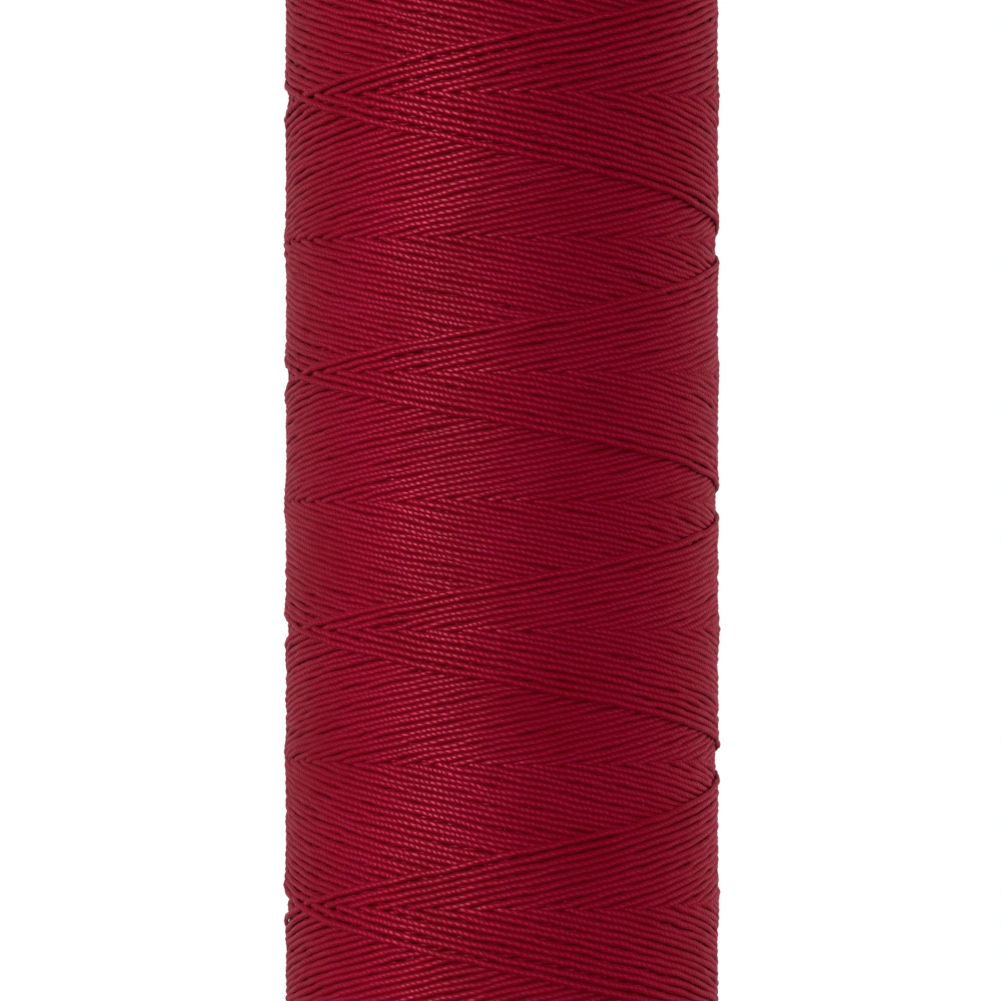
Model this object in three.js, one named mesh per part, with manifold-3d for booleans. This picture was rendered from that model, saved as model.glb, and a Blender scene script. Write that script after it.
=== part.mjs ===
// A slim plastic spool of cross-wound sewing thread, standing on its snap-lock base.
//
// Millimetres, +Z up, origin at the middle of the face that the spool stands on.
// An extruded core tube carries two pressed-on end flanges. The thread is wound between them:
// its inner layers are one plain solid, and its outermost strokes are one unbroken strand. The lock
// cap under the base flange slides down on six snap fingers and opens the gap that holds the
// thread's tail.

import * as THREE from 'three';
import { mergeVertices } from 'three/addons/utils/BufferGeometryUtils.js';
import Module from 'manifold-3d';

const wasm = await Module();
wasm.setup();

// ---------------------------------------------------------------- driving sizes

// thread
const THREAD_DIAMETER = 0.24;
const PACK_DIAMETER = 18.5; // over the outermost strands
const PACK_LENGTH = 44.8; // of the wound thread, from flange to flange
const WINDING_LEAD = 11.4; // rise of a strand in one turn
const DOUBLE_STROKES = 2; // outermost trips up the pack and down again
const CROSSING_GAP = 0.5; // between a rising strand and a falling one that crosses over it
const THREAD_SEAT = 0.3; // between the thread and what it lies on
const LEAST_ROUNDING = 0.17; // turns over which a stroke eases into the next
const LAYER_CLIMB = 0.25; // turns each side of a reversal in which the strand changes radius
const TAIL_BEND_RADIUS = 0.6; // where a strand's end turns square to the flange

// core tube, with fins that centre it on a spool pin
const TUBE_DIAMETER = 11.6;
const TUBE_WALL = 1;
const FINS = 3;
const FIN_THICKNESS = 0.9;
const PIN_CIRCLE = 6.8; // the round space that fins, flanges and fingers leave for the pin

// flanges
const TOP_FLANGE_DIAMETER = 22;
const TOP_FLANGE_THICKNESS = 2.4;
const BASE_FLANGE_DIAMETER = 22.6;
const BASE_FLANGE_THICKNESS = 1.8;
const FLANGE_EDGE_RADIUS = 0.5;
const BOSS_WALL = 0.8; // round the tube's end
const BOSS_RISE = 1.4; // of the boss above the flange's flat face
const BOSS_DRAFT = 0.3; // how much wider the boss is at its foot
const WEB_THICKNESS = 1.2; // the stop that the tube's end stands on
const PRESS_CLEARANCE = 0.1; // between the tube's end and its socket
const RECESS_DEPTH = 0.5; // of the plain ring sunk into the top face
const RECESS_RIM = 1.5;
const BORE_COLLAR = 1.6; // flat ring left round the bore on the top face
const TAIL_NICK_WIDTH = 0.8; // in the base flange's edge, for the thread's tail
const TAIL_NICK_DEPTH = 1.1;

// snap-lock cap
const CAP_DIAMETER = 24;
const CAP_HEIGHT = 3.6;
const CAP_PLATE = 1.2;
const CAP_RIM_WALL = 1.3;
const CAP_RIM_CHAMFER = 0.4;
const CAP_HUB_WALL = 1.2;
const CAP_RIBS = 6;
const CAP_RIB_THICKNESS = 0.9;
const CAP_RIB_LIFT = 0.7; // ribs and hub stay this far off what the spool stands on
const GRIP_FLUTES = 30;
const GRIP_FLUTE_RADIUS = 0.8;
const GRIP_FLUTE_DEPTH = 0.3;
const NAIL_NOTCHES = 2;
const NAIL_NOTCH_RADIUS = 3;
const NAIL_NOTCH_DEPTH = 0.9;
const LOCK_GAP = 0.25; // left between flange and cap when the cap is shut on the thread
const LOCK_TRAVEL = 2;
const LOCK_LAND = 1.7; // width of the bevelled ring that guides the tail into the gap
const LOCK_BEVEL = 0.35; // drop of each bevel at the edge
const FINGER_WALL = 0.7;
const FINGER_CLEARANCE = 0.1; // in the base flange's bore
const FINGER_SLOTS = 6; // every other one lets a fin of the tube through
const FIN_CLEARANCE = 0.3; // each side of a fin in its slot
const BARB_REACH = 0.4;
const BARB_LAND = 0.5;
const BARB_TAPER = 0.9;
const BARB_CLEARANCE = 0.1; // left under the barbs when the cap is pulled out

// facets
const TURN_FACETS = 60;
const ARC_STEPS = 3;
const FLUTE_FACETS = 10;
const NOTCH_FACETS = 24;
const LOOP_STEPS = 24;
const STRAND_SIDES = 6;

// ---------------------------------------------------------------- sizes that follow

const packRadius = PACK_DIAMETER / 2;
const tubeRadius = TUBE_DIAMETER / 2;
const tubeBore = tubeRadius - TUBE_WALL;
const pinRadius = PIN_CIRCLE / 2;
const capRadius = CAP_DIAMETER / 2;
const socketRadius = tubeRadius + PRESS_CLEARANCE;
const bossRadius = socketRadius + BOSS_WALL;
const bossFootRadius = bossRadius + BOSS_DRAFT;
const fingerRadius = pinRadius + FINGER_WALL;
const lockBore = fingerRadius + FINGER_CLEARANCE;

// heights, from the foot up
const baseUnder = CAP_HEIGHT + LOCK_GAP;
const baseFace = baseUnder + BASE_FLANGE_THICKNESS;
const tubeFoot = baseUnder + WEB_THICKNESS + PRESS_CLEARANCE;
const packFoot = baseFace + THREAD_SEAT;
const packHead = packFoot + PACK_LENGTH;
const topFace = packHead + THREAD_SEAT;
const spoolTop = topFace + TOP_FLANGE_THICKNESS;
const tubeHead = spoolTop - WEB_THICKNESS - PRESS_CLEARANCE;

// the radii at which the outermost strands run: risers below, fallers across them
const strandRadius = THREAD_DIAMETER / 2;
const fallerRadius = packRadius - strandRadius;
const riserRadius = fallerRadius - THREAD_DIAMETER - CROSSING_GAP;
const innerLayersRadius = riserRadius - strandRadius - THREAD_SEAT;

// ---------------------------------------------------------------- solids and meshes

const turnOf = (part, whole) => (2 * Math.PI * part) / whole;

/** A closed three.js geometry as a solid that can be joined and cut. */
function solidOf(geometry) {
  const bare = geometry.index ? geometry.toNonIndexed() : geometry.clone();
  for (const name of Object.keys(bare.attributes)) {
    if (name !== 'position') bare.deleteAttribute(name);
  }
  const merged = mergeVertices(bare, 1e-4);
  return new wasm.Manifold(new wasm.Mesh({
    numProp: 3,
    vertProperties: merged.attributes.position.array,
    triVerts: new Uint32Array(merged.index.array),
  }));
}

/** The faces of a solid as a three.js geometry. */
function geometryOf(solid) {
  const { vertProperties, triVerts } = solid.getMesh();
  const geometry = new THREE.BufferGeometry();
  geometry.setAttribute('position', new THREE.BufferAttribute(vertProperties, 3));
  geometry.setIndex(new THREE.BufferAttribute(triVerts, 1));
  geometry.computeVertexNormals();
  return geometry;
}

/** A ring-shaped solid from a closed outline of [radius, height] corners, anticlockwise. */
function revolve(outline) {
  const corners = [...outline, outline[0]].map(([radius, height]) => new THREE.Vector2(radius, height));
  return solidOf(new THREE.LatheGeometry(corners, TURN_FACETS).rotateX(Math.PI / 2));
}

/** Corners of a quarter round from one direction to the next, centred on [radius, height]. */
function quarter(radius, height, size, fromAngle) {
  return Array.from({ length: ARC_STEPS + 1 }, (_, step) => {
    const angle = fromAngle + (Math.PI / 2) * (step / ARC_STEPS);
    return [radius + size * Math.cos(angle), height + size * Math.sin(angle)];
  });
}

/** A copy of a cutter or rib at each of count places round the axis. */
function around(count, solid, firstAngle = 0) {
  return Array.from({ length: count }, (_, i) =>
    solid.rotate([0, 0, THREE.MathUtils.radToDeg(firstAngle + turnOf(i, count))]));
}

const cutAll = (solid, cutters) => cutters.reduce((left, cutter) => left.subtract(cutter), solid);
const joinAll = (solid, others) => others.reduce((whole, other) => whole.add(other), solid);

// ---------------------------------------------------------------- core tube

/** The tube's bore outline: facets in line with the turned parts, stepped in at each fin. */
function finnedBore() {
  const path = new THREE.Path();
  const points = [];
  const halfFin = Math.asin(FIN_THICKNESS / 2 / tubeBore);
  const tip = Math.asin(FIN_THICKNESS / 2 / pinRadius);
  const facet = turnOf(1, TURN_FACETS);
  for (let fin = 0; fin < FINS; fin++) {
    const middle = Math.PI / 2 + turnOf(fin, FINS);
    const next = middle + turnOf(1, FINS);
    points.push([pinRadius, middle - tip], [pinRadius, middle + tip], [tubeBore, middle + halfFin]);
    const first = Math.ceil((middle + halfFin) / facet + 0.2);
    for (let i = first; i * facet < next - halfFin - 0.2 * facet; i++) points.push([tubeBore, i * facet]);
    points.push([tubeBore, next - halfFin]);
  }
  path.setFromPoints(points.map(([radius, angle]) =>
    new THREE.Vector2(radius * Math.cos(angle), radius * Math.sin(angle))));
  return path;
}

function coreTube() {
  const section = new THREE.Shape(Array.from({ length: TURN_FACETS }, (_, i) => {
    const angle = turnOf(i, TURN_FACETS);
    return new THREE.Vector2(tubeRadius * Math.cos(angle), tubeRadius * Math.sin(angle));
  }));
  section.holes.push(finnedBore());
  const tube = new THREE.ExtrudeGeometry(section, { depth: tubeHead - tubeFoot, bevelEnabled: false });
  return geometryOf(solidOf(tube.translate(0, 0, tubeFoot)));
}

// ---------------------------------------------------------------- flanges

function topFlange() {
  const edge = TOP_FLANGE_DIAMETER / 2 - FLANGE_EDGE_RADIUS;
  const recessOuter = TOP_FLANGE_DIAMETER / 2 - RECESS_RIM;
  const recessInner = pinRadius + BORE_COLLAR;
  const bossFoot = topFace - BOSS_RISE;
  return geometryOf(revolve([
    [socketRadius, bossFoot],
    [bossRadius, bossFoot],
    [bossFootRadius, topFace],
    ...quarter(edge, topFace + FLANGE_EDGE_RADIUS, FLANGE_EDGE_RADIUS, -Math.PI / 2),
    ...quarter(edge, spoolTop - FLANGE_EDGE_RADIUS, FLANGE_EDGE_RADIUS, 0),
    [recessOuter, spoolTop],
    [recessOuter - RECESS_DEPTH, spoolTop - RECESS_DEPTH],
    [recessInner + RECESS_DEPTH, spoolTop - RECESS_DEPTH],
    [recessInner, spoolTop],
    [pinRadius, spoolTop],
    [pinRadius, spoolTop - WEB_THICKNESS],
    [socketRadius, spoolTop - WEB_THICKNESS],
  ]));
}

/** A wedge that opens outwards, cut through the base flange's edge. */
function tailNick() {
  const rim = BASE_FLANGE_DIAMETER / 2;
  const wedge = new THREE.Shape([
    new THREE.Vector2(rim - TAIL_NICK_DEPTH, 0),
    new THREE.Vector2(rim + TAIL_NICK_DEPTH, -TAIL_NICK_WIDTH),
    new THREE.Vector2(rim + TAIL_NICK_DEPTH, TAIL_NICK_WIDTH),
  ]);
  const depth = 3 * BASE_FLANGE_THICKNESS;
  const cutter = new THREE.ExtrudeGeometry(wedge, { depth, bevelEnabled: false });
  return solidOf(cutter.translate(0, 0, baseUnder - BASE_FLANGE_THICKNESS));
}

function baseFlange() {
  const rim = BASE_FLANGE_DIAMETER / 2;
  const bossHead = baseFace + BOSS_RISE;
  const body = revolve([
    [lockBore, baseUnder],
    [rim - LOCK_LAND, baseUnder],
    [rim, baseUnder + LOCK_BEVEL],
    ...quarter(rim - FLANGE_EDGE_RADIUS, baseFace - FLANGE_EDGE_RADIUS, FLANGE_EDGE_RADIUS, 0),
    [bossFootRadius, baseFace],
    [bossRadius, bossHead],
    [socketRadius, bossHead],
    [socketRadius, baseUnder + WEB_THICKNESS],
    [lockBore, baseUnder + WEB_THICKNESS],
  ]);
  return geometryOf(body.subtract(tailNick()));
}

// ---------------------------------------------------------------- snap-lock cap

/** The cap's plate, rim and hub, open underneath. */
function capShell() {
  const bevelFoot = capRadius - LOCK_LAND;
  const plateUnder = CAP_HEIGHT - CAP_PLATE;
  const hubRadius = pinRadius + CAP_HUB_WALL;
  return revolve([
    [pinRadius, CAP_RIB_LIFT],
    [hubRadius, CAP_RIB_LIFT],
    [hubRadius, plateUnder],
    [capRadius - CAP_RIM_WALL, plateUnder],
    [capRadius - CAP_RIM_WALL, 0],
    [capRadius - CAP_RIM_CHAMFER, 0],
    [capRadius, CAP_RIM_CHAMFER],
    [capRadius, CAP_HEIGHT - LOCK_BEVEL],
    [bevelFoot, CAP_HEIGHT],
    [pinRadius, CAP_HEIGHT],
  ]);
}

/** Stiffening ribs between hub and rim. */
function capRib() {
  const inner = pinRadius + CAP_HUB_WALL / 2;
  const outer = capRadius - CAP_RIM_WALL / 2;
  const height = CAP_HEIGHT - CAP_PLATE / 2 - CAP_RIB_LIFT;
  const rib = new THREE.BoxGeometry(outer - inner, CAP_RIB_THICKNESS, height);
  return solidOf(rib.translate((inner + outer) / 2, 0, CAP_RIB_LIFT + height / 2));
}

/** A ring of snap fingers that rises from the plate through the base flange into the tube. */
function snapFingers() {
  const root = CAP_HEIGHT - CAP_PLATE / 2;
  const catchHeight = baseUnder + WEB_THICKNESS + LOCK_TRAVEL + BARB_CLEARANCE;
  const barbRadius = fingerRadius + BARB_REACH;
  const tip = catchHeight + BARB_LAND + BARB_TAPER;
  const ring = revolve([
    [pinRadius, root],
    [fingerRadius, root],
    [fingerRadius, catchHeight],
    [barbRadius, catchHeight],
    [barbRadius, catchHeight + BARB_LAND],
    [fingerRadius, tip],
    [pinRadius, tip],
  ]);
  const slotFoot = tubeFoot - FIN_CLEARANCE;
  const slotWidth = FIN_THICKNESS + 2 * FIN_CLEARANCE;
  const slotHeight = 2 * (tip - slotFoot);
  const slot = new THREE.BoxGeometry(2 * barbRadius, slotWidth, slotHeight);
  const cutter = solidOf(slot.translate(barbRadius, 0, slotFoot + slotHeight / 2));
  return cutAll(ring, around(FINGER_SLOTS, cutter, Math.PI / 2));
}

/** A round-bottomed groove down the cap's edge. */
function gripFlute() {
  const height = 2 * CAP_HEIGHT;
  const flute = new THREE.CylinderGeometry(GRIP_FLUTE_RADIUS, GRIP_FLUTE_RADIUS, height, FLUTE_FACETS);
  flute.rotateX(Math.PI / 2);
  return solidOf(flute.translate(capRadius + GRIP_FLUTE_RADIUS - GRIP_FLUTE_DEPTH, 0, CAP_HEIGHT / 2));
}

/** A scallop in the cap's upper edge, where a nail levers it open. */
function nailNotch() {
  const length = 2 * LOCK_LAND;
  const round = new THREE.CylinderGeometry(NAIL_NOTCH_RADIUS, NAIL_NOTCH_RADIUS, length, NOTCH_FACETS);
  round.rotateZ(Math.PI / 2);
  return solidOf(round.translate(capRadius, 0, CAP_HEIGHT + NAIL_NOTCH_RADIUS - NAIL_NOTCH_DEPTH));
}

function lockCap() {
  const ribbed = joinAll(capShell(), around(CAP_RIBS, capRib()));
  const pierced = joinAll(ribbed, [snapFingers()]);
  const fluted = cutAll(pierced, around(GRIP_FLUTES, gripFlute(), turnOf(1, 2 * GRIP_FLUTES)));
  return geometryOf(cutAll(fluted, around(NAIL_NOTCHES, nailNotch())));
}

// ---------------------------------------------------------------- thread

/** All the layers under the outermost strokes, fitted round the flanges' bosses. */
function innerLayers() {
  const bore = tubeRadius + THREAD_SEAT;
  const bossClear = bossRadius + THREAD_SEAT;
  const footClear = Math.min(bossFootRadius + THREAD_SEAT, innerLayersRadius - THREAD_SEAT);
  const bossHead = BOSS_RISE + THREAD_SEAT;
  const middle = (packFoot + packHead) / 2;
  const lower = [
    [bore, packFoot + bossHead - THREAD_SEAT],
    [bossClear, packFoot + bossHead - THREAD_SEAT],
    [footClear, packFoot],
    [innerLayersRadius, packFoot],
  ];
  const upper = lower.map(([radius, height]) => [radius, 2 * middle - height]).reverse();
  return geometryOf(revolve([...lower, ...upper]));
}

/**
 * Where the traverse carries the strand. Its height climbs and falls steadily and rounds off at
 * each end, and it changes radius round each reversal, so that rising and falling strands cross
 * clear of each other. Half a turn over a whole number in a double stroke lays each new strand
 * midway between the last ones.
 */
function strandPath() {
  const low = packFoot + strandRadius;
  const high = packHead - strandRadius;
  const strokeTravel = (high - low) / WINDING_LEAD;
  const doubleTurns = Math.ceil(2 * (strokeTravel + LEAST_ROUNDING) - 0.5) + 0.5;
  const strokeTurns = doubleTurns / 2;
  const rounding = strokeTurns - strokeTravel; // turns over which each reversal rounds off
  const loops = doubleTurns * DOUBLE_STROKES;

  const heightAt = (turns) => {
    const phase = turns % doubleTurns;
    const fromFoot = Math.min(phase, doubleTurns - phase);
    const fromHead = strokeTurns - fromFoot;
    const rounded = (away) => (WINDING_LEAD * away * away) / (2 * rounding);
    if (fromFoot < rounding) return low + rounded(fromFoot);
    if (fromHead < rounding) return high - rounded(fromHead);
    return low + WINDING_LEAD * (fromFoot - rounding / 2);
  };
  const radiusAt = (turns) => {
    let radius = riserRadius;
    for (let reversal = 1; reversal < 2 * DOUBLE_STROKES; reversal++) {
      const middle = reversal * strokeTurns;
      const done = THREE.MathUtils.smoothstep(turns, middle - LAYER_CLIMB, middle + LAYER_CLIMB);
      radius += (reversal % 2 ? 1 : -1) * done * (fallerRadius - riserRadius);
    }
    return radius;
  };
  const at = (turns) => {
    const angle = turnOf(turns, 1);
    const radius = radiusAt(turns);
    return new THREE.Vector3(radius * Math.cos(angle), radius * Math.sin(angle), heightAt(turns));
  };

  const bend = TAIL_BEND_RADIUS / turnOf(riserRadius, 1);
  const woundTurns = loops - 2 * bend;
  const count = Math.round(woundTurns * LOOP_STEPS);
  const wound = Array.from({ length: count + 1 }, (_, i) => at(bend + (woundTurns * i) / count));
  const points = [...tail(at(0), wound[0]), ...wound, ...tail(at(loops), wound.at(-1)).reverse()];
  return { points, loops };
}

/** A strand's end: it stands off the base flange for a diameter, square to it, and bends over. */
function tail(corner, joins) {
  const foot = new THREE.Vector3(corner.x, corner.y, packFoot);
  const straight = foot.clone().setZ(packFoot + THREAD_DIAMETER);
  const knee = foot.clone().setZ(Math.max(joins.z, packFoot + 2 * THREAD_DIAMETER));
  const bend = new THREE.QuadraticBezierCurve3(straight, knee, joins).getPoints(LOOP_STEPS / 6);
  return [foot, ...bend.slice(0, -1)];
}

/** A closed tube whose sections stand square to the line through the points. */
function tubeAlong(points, radius) {
  const vertices = [];
  const triangles = [];
  points.forEach((point, i) => {
    const before = points[Math.max(i - 1, 0)];
    const after = points[Math.min(i + 1, points.length - 1)];
    const along = after.clone().sub(before).normalize();
    const outward = new THREE.Vector3(point.x, point.y, 0).normalize();
    outward.addScaledVector(along, -outward.dot(along)).normalize();
    const sideways = along.clone().cross(outward);
    for (let side = 0; side < STRAND_SIDES; side++) {
      const angle = turnOf(side, STRAND_SIDES);
      const corner = point.clone()
        .addScaledVector(outward, radius * Math.cos(angle))
        .addScaledVector(sideways, radius * Math.sin(angle));
      vertices.push(...corner.toArray());
    }
  });
  const last = (points.length - 1) * STRAND_SIDES;
  for (let ring = 0; ring < last; ring += STRAND_SIDES) {
    for (let side = 0; side < STRAND_SIDES; side++) {
      const [a, b] = [ring + side, ring + ((side + 1) % STRAND_SIDES)];
      triangles.push(a, b, b + STRAND_SIDES, a, b + STRAND_SIDES, a + STRAND_SIDES);
    }
  }
  for (let side = 1; side < STRAND_SIDES - 1; side++) {
    triangles.push(0, side + 1, side, last, last + side, last + side + 1);
  }
  const geometry = new THREE.BufferGeometry();
  geometry.setAttribute('position', new THREE.Float32BufferAttribute(vertices, 3));
  geometry.setIndex(triangles);
  return geometry;
}

/** The least free space between a strand and any other turn of itself. */
function leastGap(points) {
  const spots = [];
  const spacing = THREAD_DIAMETER;
  let run = 0;
  for (let i = 1; i < points.length; i++) {
    const length = points[i].distanceTo(points[i - 1]);
    const steps = Math.max(1, Math.ceil(length / spacing));
    for (let step = 0; step < steps; step++) {
      const place = points[i - 1].clone().lerp(points[i], step / steps);
      spots.push([place.x, place.y, place.z, run + (length * step) / steps]);
    }
    run += length;
  }
  const sameTurn = Math.PI * riserRadius;
  let least = Infinity;
  spots.forEach(([x, y, z, at], i) => {
    for (let j = i + 1; j < spots.length; j++) {
      const other = spots[j];
      if (other[3] - at < sameTurn) continue;
      least = Math.min(least, (x - other[0]) ** 2 + (y - other[1]) ** 2 + (z - other[2]) ** 2);
    }
  });
  return Math.sqrt(least) - THREAD_DIAMETER;
}

function outerStrokes() {
  const { points, loops } = strandPath();
  console.log(`outer strokes: ${loops} loops, least gap to itself ${leastGap(points).toFixed(2)} mm`);
  return tubeAlong(points, strandRadius);
}

// ---------------------------------------------------------------- the spool

const whitePlastic = () => new THREE.MeshStandardMaterial({ color: 0xf1f0ec, roughness: 0.42, metalness: 0 });
const crimsonThread = () => new THREE.MeshStandardMaterial({ color: 0x9e1230, roughness: 0.6, metalness: 0 });

function piece(name, geometry, material) {
  const mesh = new THREE.Mesh(geometry, material);
  mesh.name = name;
  return mesh;
}

const spool = new THREE.Group();
spool.add(
  piece('core_tube', coreTube(), whitePlastic()),
  piece('top_flange', topFlange(), whitePlastic()),
  piece('base_flange', baseFlange(), whitePlastic()),
  piece('lock_cap', lockCap(), whitePlastic()),
  piece('thread_inner_layers', innerLayers(), crimsonThread()),
  piece('thread_outer_strokes', outerStrokes(), crimsonThread()),
);

export default spool;
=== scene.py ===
"""A slim spool of cross-wound crimson sewing thread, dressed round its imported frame.

The wound thread is one long strand that a traverse guide carries up and down while the spool turns.
Its last two covers, of 42 double strokes each, are wound here turn by turn, each strand over or
under the ones that it crosses: the last cover in full detail, and more plainly the one under it,
which shows in the gaps. A plain body stands for the thread below them. The plastic tube, flanges
and lock cap keep their shapes and get rounded edges. Metres throughout, +Z up.
"""

import math

import bmesh
import bpy
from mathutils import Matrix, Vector


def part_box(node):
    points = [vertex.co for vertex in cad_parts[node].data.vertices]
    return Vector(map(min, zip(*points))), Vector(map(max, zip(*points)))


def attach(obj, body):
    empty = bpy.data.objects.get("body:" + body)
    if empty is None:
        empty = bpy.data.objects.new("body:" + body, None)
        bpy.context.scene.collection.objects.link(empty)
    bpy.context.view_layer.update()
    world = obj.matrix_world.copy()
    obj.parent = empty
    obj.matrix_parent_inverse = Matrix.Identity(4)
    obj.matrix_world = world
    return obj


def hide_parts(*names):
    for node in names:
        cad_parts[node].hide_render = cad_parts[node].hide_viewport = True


MM = 0.001
TAU = 2 * math.pi

# ---- thread and winding
THREAD_DIAMETER = 0.24 * MM
STROKES = 42  # double strokes that cover the pack once
STROKES_PER_PIECE = 6
BURIED_STROKES_PER_PIECE = 21
# a single stroke's turns: a whole number less half a strand, so that each lies beside the last
STROKE_TURNS = 4 - 0.5 / STROKES
HALF_TURN_RISE = 5.4 * MM  # of a strand at mid height
RISE_GROWTH = 0.037 * MM  # how the rise grows away from mid height, per half turn cubed
STEADY_FROM = 3.0  # half turns from mid height, past which the rise stays the same
NODE_AZIMUTH = math.radians(25)  # where the newest rising and falling strands cross at mid height
SETTLE = 0.165 * MM  # how far one more layer lifts the strands over it
SWELL = 0.03 * MM  # how far the pack swells between the heights where the strands cross
KNOT = 0.1 * MM  # how far the crossings themselves stand up
KNOT_REACH = 0.18  # half turns
CLIMB = 1.3  # strands crossed while one climbs from under the others to over them
NEWEST_SPREAD = 1.1  # extra room, in strands, that the newest strands take up
NEWEST_LIFT = 0.05 * MM  # how much higher they lie, as nothing has pressed them in yet
NEWEST_FADE = 4.0  # double strokes over which both die away
FLATNESS = 1.25  # how much wider than round a strand lies
RING_STEPS = 192  # a turn
RING_SIDES = 8
BURIED_RING_STEPS = 96
BURIED_RING_SIDES = 6
SEED = 7

# ---- how a strand strays from its path: noise scales, and shares of the wander
WANDER = 0.1 * MM
SLOW_SCALE, SLOW_SHARE = 90.0, 1.25  # in height
QUICK_SCALE, QUICK_SHARE = 420.0, 0.5  # in height
OUTWARD_SCALE, OUTWARD_SHARE = 200.0, 0.9
TONE_SCALE = 140.0
STROKE_CHANGE = 2.3  # how far the noise moves on from one double stroke to the next
NOISE_GAIN = 2.5  # brings plain noise, which seldom leaves 0.3 to 0.7, to -1 to 1 about its middle

# ---- the strand's make
PLY_LAY = 0.83 * MM  # length in which the three plies turn once
PLIES = 3
PLY_RELIEF = 0.02 * MM
SLACK_SCALE, SLACK_TWIST = 400.0, 6.0  # how the twist tightens and slackens, in radians
FLECK_RUN, FLECK_SCALE = 800.0, 5.0  # fibres along the strand and across it
FUZZ_SCALE = 5200.0
BLOTCH_SCALE = 260.0
MOTTLE_SCALE = 900.0  # of the thread under the last cover
SOFTENING = 0.35  # how far fuzz turns the strand's surface towards the pack's

# ---- stray fibres that stand off the strands
FIBRES = 700
FIBRE_RADIUS = 0.008 * MM
FIBRE_SPAN = 1.5 * MM
FIBRE_STAND = 0.2 * MM
FIBRE_REACH = 0.99  # of the pack's half height
FIBRE_DEPTHS = (0.08, 0.26)  # millimetres under the pack's radius
FIBRE_TURN = 0.9  # radians that a fibre may lie askew
FIBRE_LENGTHS = (0.35, 1.3)
FIBRE_BENDS = (-1.5, 1.5)
FIBRE_HEIGHTS = (0.1, 1.2)
FIBRE_TINT_SCALE = 700.0

# ---- the thread under both covers
BODY_CLEARANCE = 0.1 * MM  # round the tube
BODY_BEVEL = 1 * MM
BODY_HOLLOW = 2 * MM  # how far its ends sink towards the tube, clear of the flanges' bosses

# ---- turned and moulded pieces
LATHE_STEPS = 144
WELD = 0.001 * MM
FLAT = math.radians(0.5)  # faces with a smaller turn between them become one
EDGE_ROUNDING = 0.14 * MM
EDGE_STEPS = 3
SHARP = math.radians(28)  # an edge with a wider turn than this gets rounded
FULL_WEAR_TURN = math.radians(22)  # between the faces of a rounded edge
PLASTIC_RELIEF = 0.012 * MM
CLOUD_SCALE = 160.0

# ---- floor
FLOOR_RADIUS = 118 * MM
FLOOR_FADE_FROM = 45 * MM
FLOOR_FADE_TO = 0.97 * FLOOR_RADIUS
FLOOR_WHITE = 0.5  # least share of plain white that the camera sees in it
FLOOR_GAP = 0.01 * MM
FLOOR_SPECK_SCALE = 900.0

# ---- the photograph's frame
IMAGE_SIDE_PX = 1001
PACK_LEFT_PX = 286.6
PACK_RIGHT_PX = 717.2
SENSOR = 36.0  # millimetres
CAMERA_RADII = 46.0  # distance from the axis, in pack radii
CLIP_START = 0.01

# ---- light: the world's level before and behind the object, and the lamps
WORLD_FRONT, WORLD_BEHIND = 0.01, 0.6
WORLD_FADE = (-0.1, 0.4)  # from front to back, in the direction's share of +Y
# name, azimuth and elevation in degrees, distance, width and height in metres, watts, and whether
# it lights surfaces and shows in a gloss
LAMPS = (
    ("key_gloss", -35, 16, 0.5, 0.3, 0.4, 7.0, False, True),
    ("key_fill", -48, 18, 0.5, 0.4, 0.4, 0.9, True, False),
    ("front_fill", -8, 20, 0.5, 0.4, 0.4, 0.74, True, False),
    ("right_fill", 100, 10, 0.6, 0.4, 0.4, 1.62, True, False),
)

# ---- colours
# painted shade: the open strands' flanks, where they meet, take a darker copy of their top colour
SHADED_FLANK_RED = (0.29, 0.0, 0.012, 1)
CREST_RED = (0.41, 0.0, 0.036, 1)
# part of each glint is painted: a pinker, lighter red on the plies' crests, which also tints their
# metallic reflection
GLINT_RED = (0.46, 0.012, 0.055, 1)
# painted light: the thread under the last cover is a much lighter crimson than the open strands',
# which lifts the shade in the gaps
LIGHTENED_PACKED_DEEP = (0.66, 0.0, 0.014, 1)
LIGHTENED_PACKED_BRIGHT = (0.82, 0.0, 0.03, 1)
FIBRE_DEEP = (0.5, 0.02, 0.06, 1)
FIBRE_PALE = (0.85, 0.3, 0.36, 1)
FLOOR_GREYS = ((0.7, 0.7, 0.7, 1), (0.74, 0.74, 0.74, 1))
PLASTICS = {  # clean, clouded and rubbed colours, roughness, grain scale, wear
    "tube_plastic": (
        (0.74, 0.74, 0.71, 1), (0.68, 0.68, 0.65, 1), (0.78, 0.78, 0.76, 1), 0.32, 3200.0, 0.3
    ),
    "flange_plastic": (
        (0.8, 0.8, 0.775, 1), (0.75, 0.75, 0.72, 1), (0.86, 0.86, 0.84, 1), 0.28, 2400.0, 0.6
    ),
    "cap_plastic": (
        (0.78, 0.785, 0.77, 1), (0.72, 0.73, 0.71, 1), (0.85, 0.85, 0.84, 1), 0.34, 1900.0, 0.9
    ),
}
MOULDED = (  # piece, the CAD node that it stands for, body, plastic
    ("winding_tube", "core_tube", "spool", "tube_plastic"),
    ("upper_flange", "top_flange", "spool", "flange_plastic"),
    ("lower_flange", "base_flange", "spool", "flange_plastic"),
    ("snap_cap", "lock_cap", "lock_cap", "cap_plastic"),
)

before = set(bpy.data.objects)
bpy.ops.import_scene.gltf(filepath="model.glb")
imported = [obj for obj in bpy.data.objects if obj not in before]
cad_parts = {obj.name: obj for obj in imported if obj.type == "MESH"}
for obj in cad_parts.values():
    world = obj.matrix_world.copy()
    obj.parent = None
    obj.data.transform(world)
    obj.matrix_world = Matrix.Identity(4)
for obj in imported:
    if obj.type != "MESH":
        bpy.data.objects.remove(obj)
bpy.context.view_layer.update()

pack_low, pack_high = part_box("thread_outer_strokes")
PACK_RADIUS = pack_high.x
PACK_MIDDLE = (pack_low.z + pack_high.z) / 2
PACK_HALF = (pack_high.z - pack_low.z) / 2


# ---------------------------------------------------------------- formulas in node trees


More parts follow.
